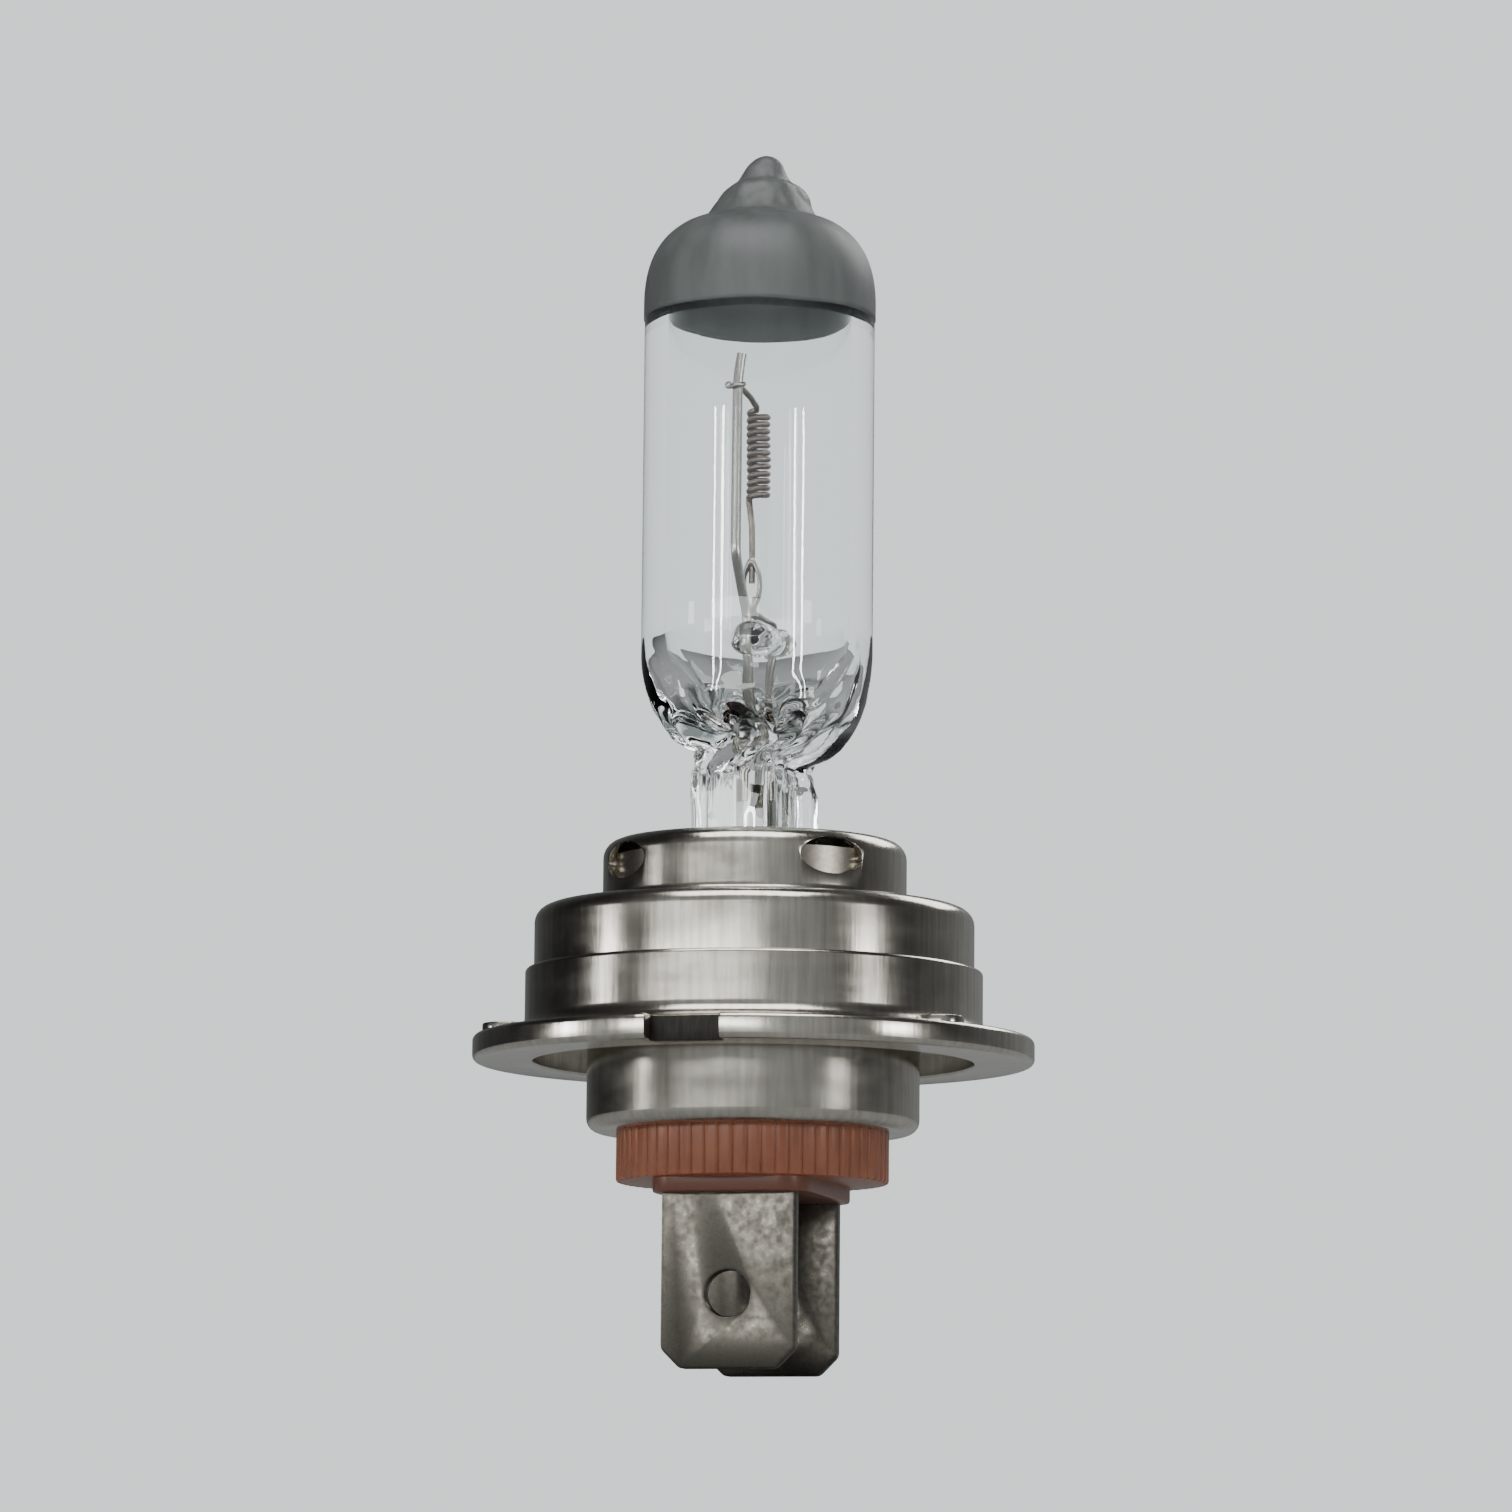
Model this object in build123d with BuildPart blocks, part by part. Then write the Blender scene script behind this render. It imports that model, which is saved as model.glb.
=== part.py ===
from build123d import *
from math import cos, radians, sin, tan
import os

os.makedirs("parts", exist_ok=True)

# Halogen headlamp bulb. Millimetres. Z is the bulb's axis and points to the glass tip.
# Z = 0 is the reference plane: the top of the three bosses on the focus ring's flange.
# The notch in the flange, the long lead and the front blade are on the -Y side.

# Glass tube, dome and exhaust tip
tube_r = 5.40
bore_r = 4.30
dome_start_z = 34.5
dome_shoulder_share = 0.88
dome_shoulder_z = 36.95
inner_dome_height = 2.7
tip_base_r = 2.65
tip_step_r = 1.85
tip_nib_r = 1.1
tip_base_z = 38.3
tip_step_z = 39.6
tip_nib_z = 40.2
tip_top_z = 41.4

# Pressed foot of the glass, the pinch seal: an I-shaped section
pinch_thickness = 3.8
pinch_width = 9.6
pinch_web_thickness = 2.6
pinch_rim_width = 1.6
pinch_bottom_z = 2.0
pinch_top_z = 13.0
press_end_z = 17.2
bore_floor_z = 14.5
bore_press_end_z = 18.2
press_floor_r = 2.2

# Black coating on the dome
coating_thickness = 0.06
coating_edge_z = 33.5

# Filament and its leads
coil_bottom_z = 25.0
coil_length = 4.1
coil_wire_r = 0.11
coil_r = 0.42
coil_turns = 12.25
lead_r = 0.225
lead_spacing = 4.4
long_lead_x = -0.15
long_lead_y = -3.3
long_lead_top_z = 31.25
tail_joint_z = 29.75
ring_wire_r = 0.11
hook_x = -0.26
hook_width = 0.95
hook_height = 2.8
hook_top_z = 22.3
hook_strand = 0.2
hook_depth = 0.6
bridge_r = 1.0
bridge_overhang = 0.9
bridge_z = 17.9
bridge_x = 0.35

# Foils in the pinch, and the wires below them
foil_width = 2.4
foil_thickness = 0.1
foil_bottom_z = 3.6
foil_top_z = 11.4
weld_lap = 1.0
weld_press = 0.06
outer_lead_r = 0.3

# Holder: a drawn cup with a crown above and a wider skirt below
holder_sheet = 0.4
crown_r = 7.05
crown_top_z = 8.8
crown_edge_r = 0.75
skirt_r = 10.2
shoulder_z = 5.7
shoulder_edge_r = 0.7
neck_fillet_r = 0.5
pinch_clearance = 0.4
window_width = 3.4
window_height = 1.6
window_drop = 1.25
window_count = 4

# Spring clamps inside the crown
clamp_sheet = 0.3
clamp_width = 5.0
clamp_foot_rise = 0.5
clamp_headroom = 0.4
clamp_wall_half_angle = 62
clamp_lip = 0.3

# Focus ring
ring_sheet = 0.4
collar_top_z = 2.8
flange_reach = 2.4
flange_thickness = 1.2
collar_fillet_r = 0.8
boss_height = 0.3
boss_r = 1.1
boss_inset = 1.25
boss_count = 3
notch_width = 3.4
notch_depth = 1.5
notch_corner_r = 0.4

# Base sleeve, insulator and contact blades
sleeve_r = 7.7
sleeve_sheet = 0.4
sleeve_bottom_z = -4.7
sleeve_edge_r = 0.55
insulator_r = 6.3
insulator_top_z = -1.6
insulator_rim_z = -7.0
insulator_boss_drop = 0.7
boss_block_x = 7.4
boss_block_y = 10.4
rim_rib_count = 60
rib_groove_r = 0.16
blade_width = 6.3
blade_thickness = 0.8
blade_spacing = 8.0
blade_tip_z = -15.7
blade_hole_r = 1.05
blade_hole_z = -12.3
blade_corner = 0.9
blade_bevel = 0.25
blade_tab_width = 3.0
blade_tab_top_z = 0.3

# Places that follow from the sizes above
collar_r = skirt_r + ring_sheet
flange_r = collar_r + flange_reach
boss_pitch_r = flange_r - boss_inset
flange_top_z = -boss_height
flange_bottom_z = flange_top_z - flange_thickness
sleeve_flange_bottom_z = flange_top_z - sleeve_sheet
tail_r = coil_wire_r
pinch_half = pinch_thickness / 2
web_half = pinch_web_thickness / 2
recess_width = pinch_width - 2 * pinch_rim_width
lead_x = foil_thickness / 2 + lead_r - weld_press
outer_lead_x = -(foil_thickness / 2 + outer_lead_r - weld_press)
blade_inner_y = (blade_spacing - blade_thickness) / 2
outer_lead_y = blade_inner_y - outer_lead_r + weld_press
crown_inner_r = crown_r - holder_sheet
window_z = crown_top_z - window_drop
clamp_foot_z = shoulder_z + clamp_foot_rise
clamp_wall_top_z = crown_top_z - holder_sheet - clamp_headroom
coil_top_z = coil_bottom_z + coil_length


def save(part, name):
    """Label a finished piece and write it to its own file."""
    part.part.label = name
    export_step(part.part, f"parts/{name}.step")


def round_wire(points, radii, wire_r):
    """Sweep a round wire along straight runs joined by arcs."""
    with BuildLine() as route:
        FilletPolyline(*points, radius=radii)
    with BuildSketch(Plane(origin=route.line @ 0, z_dir=route.line % 0)) as section:
        Circle(wire_r)
    sweep(section.sketch, path=route.line)


def foil(side):
    """Thin foil in the pinch, side -1 in front and +1 behind."""
    with BuildPart() as piece:
        with BuildSketch(Plane.XY.offset(foil_bottom_z)):
            with Locations((0, side * lead_spacing / 2)):
                Rectangle(foil_thickness, foil_width)
        extrude(amount=foil_top_z - foil_bottom_z)
    return piece


seal_foil_front = foil(-1)
save(seal_foil_front, "seal_foil_front")

seal_foil_rear = foil(1)
save(seal_foil_rear, "seal_foil_rear")


# Long lead: welded to the front foil, through the bridge, outwards, and up past the coil
lead_bottom_z = foil_top_z - weld_lap
bridge_exit_z = bridge_z + bridge_r + 0.4
with BuildPart() as long_lead_wire:
    round_wire(
        [
            (lead_x, -lead_spacing / 2, lead_bottom_z),
            (lead_x, -lead_spacing / 2, bridge_exit_z),
            (long_lead_x, long_lead_y, bridge_exit_z + 2.6),
            (long_lead_x, long_lead_y, tail_joint_z + 0.5),
            (long_lead_x + 0.1, long_lead_y, long_lead_top_z),
        ],
        [1.5, 1.5, 1.5],
        lead_r,
    )
    add(seal_foil_front.part, mode=Mode.SUBTRACT)
save(long_lead_wire, "long_lead_wire")

# Short lead: welded to the rear foil, through the bridge, and across to the hook under the coil
hook_bottom_z = hook_top_z - hook_height
with BuildPart() as short_lead_wire:
    round_wire(
        [
            (lead_x, lead_spacing / 2, lead_bottom_z),
            (lead_x, lead_spacing / 2, bridge_exit_z - 0.3),
            (hook_x, 0, hook_bottom_z),
            (hook_x, 0, hook_bottom_z + 0.7),
        ],
        [0.6, 0.25],
        lead_r,
    )
    add(seal_foil_rear.part, mode=Mode.SUBTRACT)
save(short_lead_wire, "short_lead_wire")

# Tungsten coil: it starts on the -X side, ends on the -Y side, and has a straight tail at each end
with BuildPart() as filament_coil:
    coil_pitch = coil_length / coil_turns
    coil_start = Plane(origin=(0, 0, coil_bottom_z), x_dir=(-1, 0, 0), z_dir=(0, 0, 1))
    with BuildLine(coil_start) as turns:
        Helix(pitch=coil_pitch, height=coil_length, radius=coil_r)
    with BuildSketch(Plane(origin=turns.line @ 0, z_dir=turns.line % 0)):
        Circle(coil_wire_r)
    sweep(path=turns.line, is_frenet=True)
    with Locations(turns.line @ 0, turns.line @ 1):
        Sphere(tail_r)
    round_wire(
        [
            turns.line @ 0,
            (-coil_r, 0, coil_bottom_z - 0.5),
            (hook_x, 0, coil_bottom_z - 1.3),
            (hook_x, 0, hook_bottom_z + 1.0),
        ],
        [0.3, 0.3],
        tail_r,
    )
    round_wire(
        [
            turns.line @ 1,
            (0, -coil_r, coil_top_z + 0.35),
            (long_lead_x, long_lead_y + lead_r + ring_wire_r, tail_joint_z),
        ],
        [0.3],
        tail_r,
    )
save(filament_coil, "filament_coil")

# Ring that fixes the upper tail to the long lead
with BuildPart() as upper_tail_ring:
    with Locations((long_lead_x, long_lead_y, tail_joint_z)):
        Torus(lead_r + ring_wire_r * 0.8, ring_wire_r)
    add(long_lead_wire.part, mode=Mode.SUBTRACT)
    add(filament_coil.part, mode=Mode.SUBTRACT)
save(upper_tail_ring, "upper_tail_ring")

# Folded loop on the short lead: a long oval eye, closed on the lower tail
with BuildPart() as lower_tail_hook:
    hook_mid_z = hook_top_z - hook_height / 2
    with BuildSketch(Plane.XZ):
        with Locations((hook_x, hook_mid_z)):
            Ellipse(hook_width / 2, hook_height / 2)
            Ellipse(
                hook_width / 2 - hook_strand,
                hook_height / 2 - 1.5 * hook_strand,
                mode=Mode.SUBTRACT,
            )
    extrude(amount=hook_depth / 2, both=True)
    add(short_lead_wire.part, mode=Mode.SUBTRACT)
    add(filament_coil.part, mode=Mode.SUBTRACT)
save(lower_tail_hook, "lower_tail_hook")

# Clear bead through which both leads pass
with BuildPart() as quartz_bridge:
    bridge_half = lead_spacing / 2 + bridge_overhang
    with BuildSketch(Plane(origin=(bridge_x, -bridge_half, bridge_z), z_dir=(0, 1, 0))):
        Circle(bridge_r)
    extrude(amount=2 * bridge_half)
    fillet(quartz_bridge.edges().filter_by(GeomType.CIRCLE), radius=bridge_r * 0.6)
    add(long_lead_wire.part, mode=Mode.SUBTRACT)
    add(short_lead_wire.part, mode=Mode.SUBTRACT)
save(quartz_bridge, "quartz_bridge")


def blade(side):
    """Contact blade, side -1 in front and +1 behind, with a narrow tab for the lead."""
    face = Plane(origin=(0, side * blade_spacing / 2, 0), x_dir=(1, 0, 0), z_dir=(0, -1, 0))
    with BuildPart() as piece:
        with BuildSketch(face) as outline:
            with Locations((0, (insulator_top_z + blade_tip_z) / 2)):
                Rectangle(blade_width, insulator_top_z - blade_tip_z)
            chamfer(outline.vertices().group_by(Axis.Y)[0], blade_corner)
            with Locations((0, (insulator_top_z + blade_tab_top_z) / 2)):
                Rectangle(blade_tab_width, blade_tab_top_z - insulator_top_z)
            with Locations((0, blade_hole_z)):
                Circle(blade_hole_r, mode=Mode.SUBTRACT)
        extrude(amount=blade_thickness / 2, both=True)
        tip_edges = piece.edges().filter_by(Axis.X).group_by(Axis.Z)[0]
        chamfer(tip_edges, blade_bevel)
    return piece


contact_blade_front = blade(-1)
save(contact_blade_front, "contact_blade_front")

contact_blade_rear = blade(1)
save(contact_blade_rear, "contact_blade_rear")


def outer_lead(side, seal_foil, contact_blade):
    """Wire from a foil down through the pinch and out to its blade's tab."""
    bend_z = (pinch_bottom_z + blade_tab_top_z) / 2
    with BuildPart() as piece:
        round_wire(
            [
                (outer_lead_x, side * lead_spacing / 2, foil_bottom_z + weld_lap),
                (outer_lead_x, side * lead_spacing / 2, bend_z + 0.5),
                (outer_lead_x, side * outer_lead_y, bend_z - 0.6),
                (outer_lead_x, side * outer_lead_y, insulator_top_z),
            ],
            [0.4, 0.4],
            outer_lead_r,
        )
        add(seal_foil.part, mode=Mode.SUBTRACT)
        add(contact_blade.part, mode=Mode.SUBTRACT)
    return piece


outer_lead_front = outer_lead(-1, seal_foil_front, contact_blade_front)
save(outer_lead_front, "outer_lead_front")

outer_lead_rear = outer_lead(1, seal_foil_rear, contact_blade_rear)
save(outer_lead_rear, "outer_lead_rear")


def press_jaw(half_thickness, floor_z, end_r, end_z):
    """Area that the press takes away beside the foot: its edge is the bulb's shoulder."""
    rise = end_z - floor_z
    reach = end_r - half_thickness
    with BuildLine() as outline:
        Spline(
            (half_thickness, floor_z),
            (half_thickness + 0.44 * reach, floor_z + 0.12 * rise),
            (half_thickness + 0.74 * reach, floor_z + 0.43 * rise),
            (end_r, end_z),
            tangents=((1, 0.1), (0.06, 1)),
        )
        Polyline(
            (end_r, end_z),
            (end_r + pinch_width, end_z),
            (end_r + pinch_width, floor_z),
            (half_thickness, floor_z),
        )
    make_face(outline.edges())


# Hollow of the tube: round above, pressed to a wedge below
with BuildPart() as bulb_hollow:
    with BuildSketch(Plane.XZ):
        with BuildLine():
            inner_dome = Spline(
                (bore_r, dome_start_z),
                (bore_r * 0.72, dome_start_z + inner_dome_height * 0.7),
                (0, dome_start_z + inner_dome_height),
                tangents=((0, 1), (-1, 0)),
            )
            Polyline(
                inner_dome @ 1,
                (0, bore_floor_z),
                (bore_r, bore_floor_z),
                inner_dome @ 0,
            )
        make_face()
    revolve(axis=Axis.Z)
    with BuildSketch(Plane.XZ) as inner_jaws:
        press_jaw(press_floor_r * 0.5, bore_floor_z, bore_r, bore_press_end_z)
        mirror(about=Plane.YZ)
    extrude(amount=tube_r * 2, both=True, mode=Mode.SUBTRACT)

def dome_blank(skin, bottom_z):
    """Tube, dome and two-step exhaust tip as one turned shape, grown by a skin."""
    with BuildSketch(Plane.XZ) as section:
        with BuildLine():
            shoulder = Spline(
                (tube_r + skin, dome_start_z),
                (tube_r * dome_shoulder_share + skin, dome_shoulder_z + skin),
                (tip_base_r + skin, tip_base_z + skin),
                tangents=((0, 1), (-1, 0.25)),
            )
            tip = Spline(
                shoulder @ 1,
                (tip_step_r + skin, tip_step_z),
                (tip_nib_r + skin, tip_nib_z),
                (tip_nib_r * 0.7 + skin, (tip_nib_z + tip_top_z) / 2),
                (0, tip_top_z + skin),
                tangents=((-0.5, 1), (-1, 0)),
            )
            Polyline(
                tip @ 1,
                (0, bottom_z),
                (tube_r + skin, bottom_z),
                shoulder @ 0,
            )
        make_face()
    revolve(section.sketch, axis=Axis.Z)


# Glass envelope: tube, dome and exhaust tip in one, pressed flat at the foot
with BuildPart() as glass_envelope:
    dome_blank(0, pinch_top_z)
    with BuildSketch(Plane.XZ):
        press_jaw(press_floor_r, pinch_top_z, tube_r, press_end_z)
        mirror(about=Plane.YZ)
    extrude(amount=tube_r * 2, both=True, mode=Mode.SUBTRACT)
    with BuildSketch(Plane.YZ):
        with BuildLine():
            Polyline(
                (pinch_width / 2, pinch_top_z),
                (tube_r, pinch_top_z + 2.4),
                (tube_r + 1, pinch_top_z + 2.4),
                (tube_r + 1, pinch_top_z),
                close=True,
            )
        make_face()
        mirror(about=Plane.YZ)
    extrude(amount=tube_r * 2, both=True, mode=Mode.SUBTRACT)
    with BuildSketch(Plane.XY.offset(pinch_bottom_z)) as pinch_section:
        Rectangle(pinch_thickness, pinch_width)
        fillet(pinch_section.vertices(), 0.4)
        for side in (-1, 1):
            with Locations((side * (web_half + pinch_half) / 2, 0)):
                Rectangle(pinch_half - web_half, recess_width, mode=Mode.SUBTRACT)
    extrude(amount=pinch_top_z - pinch_bottom_z + 0.6)
    add(bulb_hollow.part, mode=Mode.SUBTRACT)
    for sealed in (
        seal_foil_front,
        seal_foil_rear,
        long_lead_wire,
        short_lead_wire,
        outer_lead_front,
        outer_lead_rear,
    ):
        add(sealed.part, mode=Mode.SUBTRACT)
save(glass_envelope, "glass_envelope")

# Black coating: a skin on the dome and the tip, above a level edge
with BuildPart() as bare_dome:
    dome_blank(0, coating_edge_z)

with BuildPart() as top_coating:
    dome_blank(coating_thickness, coating_edge_z)
    add(bare_dome.part, mode=Mode.SUBTRACT)
save(top_coating, "top_coating")

# Holder: drawn cup, open below, with a slot for the pinch and windows round the crown
with BuildPart() as holder_cup:
    with BuildSketch(Plane.XY.offset(flange_top_z)):
        Circle(skirt_r)
    extrude(amount=shoulder_z - flange_top_z)
    shoulder_edge = holder_cup.edges().filter_by(GeomType.CIRCLE).sort_by(Axis.Z)[-1]
    fillet(shoulder_edge, shoulder_edge_r)
    with BuildSketch(Plane.XY.offset(shoulder_z)):
        Circle(crown_r)
    extrude(amount=crown_top_z - shoulder_z)
    crown_edges = holder_cup.edges().filter_by(GeomType.CIRCLE).filter_by(
        lambda edge: abs(edge.radius - crown_r) < 0.01
    )
    fillet(crown_edges.sort_by(Axis.Z)[-1], crown_edge_r)
    neck_edges = holder_cup.edges().filter_by(GeomType.CIRCLE).filter_by(
        lambda edge: abs(edge.radius - crown_r) < 0.01
    )
    fillet(neck_edges.sort_by(Axis.Z)[0], neck_fillet_r)
    offset(
        amount=-holder_sheet,
        openings=holder_cup.faces().filter_by(Axis.Z).sort_by(Axis.Z)[0],
    )
    with BuildSketch(Plane.XY.offset(crown_top_z)):
        RectangleRounded(
            pinch_thickness + 2 * pinch_clearance,
            pinch_width + 2 * pinch_clearance,
            1.2,
        )
    extrude(amount=-2 * holder_sheet, mode=Mode.SUBTRACT)
    for number in range(window_count):
        bearing = 360 / window_count * (number + 0.5)
        outwards = (cos(radians(bearing)), sin(radians(bearing)), 0)
        with BuildSketch(Plane(origin=(0, 0, window_z), x_dir=(-outwards[1], outwards[0], 0), z_dir=outwards)):
            SlotOverall(window_width, window_height)
        extrude(amount=crown_r + 1, mode=Mode.SUBTRACT)
save(holder_cup, "holder_cup")


def pinch_clamp(side):
    """Sheet spring between the crown's wall and the web of the pinch, side -1 left and +1 right."""
    half_angle = clamp_wall_half_angle
    with BuildPart() as piece:
        with BuildSketch(Plane.XY.offset(clamp_foot_z)):
            with BuildLine():
                wall_outer = CenterArc((0, 0), crown_inner_r, -half_angle, arc_size=2 * half_angle)
                wall_inner = CenterArc(
                    (0, 0), crown_inner_r - clamp_sheet, -half_angle, arc_size=2 * half_angle
                )
                Line(wall_outer @ 0, wall_inner @ 0)
                Line(wall_outer @ 1, wall_inner @ 1)
            make_face()
        extrude(amount=clamp_wall_top_z - clamp_foot_z)
        with BuildSketch(Plane.XY.offset(clamp_foot_z)):
            Circle(crown_inner_r)
            with Locations((web_half + crown_inner_r, 0)):
                Rectangle(2 * crown_inner_r, clamp_width, mode=Mode.INTERSECT)
        extrude(amount=clamp_sheet)
        with BuildSketch(Plane.XY.offset(clamp_foot_z)):
            with Locations((web_half + clamp_sheet / 2, 0)):
                Rectangle(clamp_sheet, clamp_width)
        extrude(amount=crown_top_z + clamp_lip - clamp_foot_z)
        if side < 0:
            mirror(about=Plane.YZ, mode=Mode.REPLACE)
    return piece


pinch_clamp_left = pinch_clamp(-1)
save(pinch_clamp_left, "pinch_clamp_left")

pinch_clamp_right = pinch_clamp(1)
save(pinch_clamp_right, "pinch_clamp_right")

# Focus ring: collar round the holder's skirt, flange with three bosses and one notch
with BuildPart() as focus_ring:
    with BuildSketch(Plane.XZ) as ring_section:
        with BuildLine():
            Polyline(
                (skirt_r, flange_bottom_z),
                (flange_r, flange_bottom_z),
                (flange_r, flange_top_z),
                (collar_r, flange_top_z),
                (collar_r, collar_top_z),
                (skirt_r, collar_top_z),
                close=True,
            )
        make_face()
        inner_corner = ring_section.vertices().sort_by_distance((collar_r, flange_top_z))[0]
        fillet(inner_corner, collar_fillet_r)
        rim_corners = ring_section.vertices().group_by(Axis.X)[-1]
        fillet(rim_corners, 0.15)
        lip_corner = ring_section.vertices().sort_by_distance((collar_r, collar_top_z))[0]
        fillet(lip_corner, ring_sheet * 0.5)
    revolve(axis=Axis.Z)
    with BuildSketch(Plane.XY.offset(flange_top_z)):
        with PolarLocations(boss_pitch_r, boss_count, start_angle=90):
            Circle(boss_r)
    extrude(amount=boss_height)
    with BuildSketch(Plane.XY.offset(flange_bottom_z)) as notch:
        with Locations((0, -flange_r)):
            Rectangle(notch_width, 2 * notch_depth)
        fillet(notch.vertices().group_by(Axis.Y)[-1], notch_corner_r)
    extrude(amount=flange_thickness + collar_fillet_r, mode=Mode.SUBTRACT)
save(focus_ring, "focus_ring")

# Base sleeve: flanged top under the holder, rolled bottom edge round the insulator
with BuildPart() as base_sleeve:
    with BuildSketch(Plane.XZ) as sleeve_section:
        with BuildLine():
            Polyline(
                (insulator_r, sleeve_bottom_z),
                (sleeve_r, sleeve_bottom_z),
                (sleeve_r, sleeve_flange_bottom_z),
                (skirt_r, sleeve_flange_bottom_z),
                (skirt_r, flange_top_z),
                (sleeve_r - sleeve_sheet, flange_top_z),
                (sleeve_r - sleeve_sheet, sleeve_bottom_z + sleeve_sheet),
                (insulator_r, sleeve_bottom_z + sleeve_sheet),
                close=True,
            )
        make_face()
        rolled_corner = sleeve_section.vertices().sort_by_distance((sleeve_r, sleeve_bottom_z))[0]
        fillet(rolled_corner, sleeve_edge_r)
    revolve(axis=Axis.Z)
save(base_sleeve, "base_sleeve")

# Insulator: body inside the sleeve, ribbed rim and central block below it, moulded round the blades
with BuildPart() as insulator_plug:
    with BuildSketch(Plane.XY.offset(sleeve_bottom_z + sleeve_sheet)):
        Circle(sleeve_r - sleeve_sheet)
    extrude(amount=insulator_top_z - sleeve_bottom_z - sleeve_sheet)
    with BuildSketch(Plane.XY.offset(insulator_rim_z)):
        Circle(insulator_r)
    extrude(amount=sleeve_bottom_z + sleeve_sheet - insulator_rim_z)
    with BuildSketch(Plane.XY.offset(insulator_rim_z)):
        with PolarLocations(insulator_r, rim_rib_count):
            Circle(rib_groove_r)
    extrude(amount=sleeve_bottom_z - insulator_rim_z, mode=Mode.SUBTRACT)
    with BuildSketch(Plane.XY.offset(insulator_rim_z)):
        RectangleRounded(boss_block_x, boss_block_y, 1.5)
    extrude(amount=-insulator_boss_drop)
    add(contact_blade_front.part, mode=Mode.SUBTRACT)
    add(contact_blade_rear.part, mode=Mode.SUBTRACT)
save(insulator_plug, "insulator_plug")
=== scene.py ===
"""Halogen headlamp bulb: the visible pieces, their materials and the studio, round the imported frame."""

import math

import bpy
from mathutils import Matrix, Quaternion, Vector, noise
from mathutils.geometry import interpolate_bezier


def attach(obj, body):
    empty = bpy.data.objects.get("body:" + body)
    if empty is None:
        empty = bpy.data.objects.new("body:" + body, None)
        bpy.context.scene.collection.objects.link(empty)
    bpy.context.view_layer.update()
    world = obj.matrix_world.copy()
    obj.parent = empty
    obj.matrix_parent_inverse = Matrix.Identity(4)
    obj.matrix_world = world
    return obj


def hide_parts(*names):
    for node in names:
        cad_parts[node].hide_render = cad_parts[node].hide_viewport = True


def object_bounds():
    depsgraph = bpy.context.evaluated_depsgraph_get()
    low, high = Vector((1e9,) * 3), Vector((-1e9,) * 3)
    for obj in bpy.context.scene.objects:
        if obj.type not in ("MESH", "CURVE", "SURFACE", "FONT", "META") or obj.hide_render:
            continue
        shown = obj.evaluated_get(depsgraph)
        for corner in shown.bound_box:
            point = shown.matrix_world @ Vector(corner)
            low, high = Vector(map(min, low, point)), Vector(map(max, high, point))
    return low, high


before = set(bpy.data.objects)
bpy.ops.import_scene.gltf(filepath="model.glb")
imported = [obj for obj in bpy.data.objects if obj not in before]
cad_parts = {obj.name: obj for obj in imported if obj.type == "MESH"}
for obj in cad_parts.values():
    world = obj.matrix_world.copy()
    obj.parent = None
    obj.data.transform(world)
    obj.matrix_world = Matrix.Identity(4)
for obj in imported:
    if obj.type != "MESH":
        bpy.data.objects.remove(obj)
cad_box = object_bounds()
MM = 0.001

# ---------------------------------------------------------------------------
# Glass envelope
# Drawn quartz tube, closed by a torch at the top and pinched flat between two
# cold jaws at the foot, where the glass bunches into a fan of folds.
# ---------------------------------------------------------------------------
tube_r = 5.40
bore_r = 4.30
pinch_bottom = 2.0
around = 180


def smooth(value, low, high):
    """0 below low, 1 above high, eased between them."""
    share = max(0.0, min(1.0, (value - low) / (high - low)))
    return share * share * (3 - 2 * share)


def between(value, table):
    """Read a value off a short table of (place, value) pairs, in straight runs."""
    if value <= table[0][0]:
        return table[0][1]
    for (low, first), (high, last) in zip(table, table[1:]):
        if value <= high:
            return first + (last - first) * (value - low) / (high - low)
    return table[-1][1]


def curve_run(start, start_pull, end_pull, end, count):
    """Points (radius, height) of one Bezier stretch, without its last point."""
    corners = [Vector((r, 0, z)) for r, z in (start, start_pull, end_pull, end)]
    run = interpolate_bezier(*corners, count + 1)
    return [(point.x, point.z) for point in run[:-1]]


def straight_run(start, end, count):
    """Evenly spaced points (radius, height) from start, without the last point."""
    return [
        (start[0] + (end[0] - start[0]) * n / count, start[1] + (end[1] - start[1]) * n / count)
        for n in range(count)
    ]


def dome_and_tip(grow):
    """Outline of the dome and the two-step exhaust tip, grown outwards."""
    runs = (
        curve_run((5.40, 34.3), (5.40, 36.6), (4.40, 37.95), (2.72, 38.32), 22),
        curve_run((2.72, 38.32), (2.45, 38.48), (2.15, 39.15), (1.87, 39.62), 9),
        curve_run((1.87, 39.62), (1.68, 39.95), (1.28, 39.95), (1.13, 40.22), 7),
        curve_run((1.13, 40.22), (0.85, 40.8), (0.5, 41.38), (0.0, 41.38), 10),
    )
    points = [point for run in runs for point in run] + [(0.0, 41.38)]
    return [(max(0.0, r + grow * smooth(r, 0, 0.6)), z + grow * smooth(z, 37.5, 39)) for r, z in points]


def torch_lumps(point):
    """The torch leaves the tip lumpy and a little off the axis."""
    share = smooth(point.z, 37.6, 39.4)
    lump = noise.noise(point * 0.9) * 0.16 + noise.noise(point * 2.3) * 0.05
    outwards = Vector((point.x, point.y, 0))
    if outwards.length > 0.05:
        point = point + outwards.normalized() * lump * share
    point.x += 0.24 * smooth(point.z, 38.0, 40.5)
    return point


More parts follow.
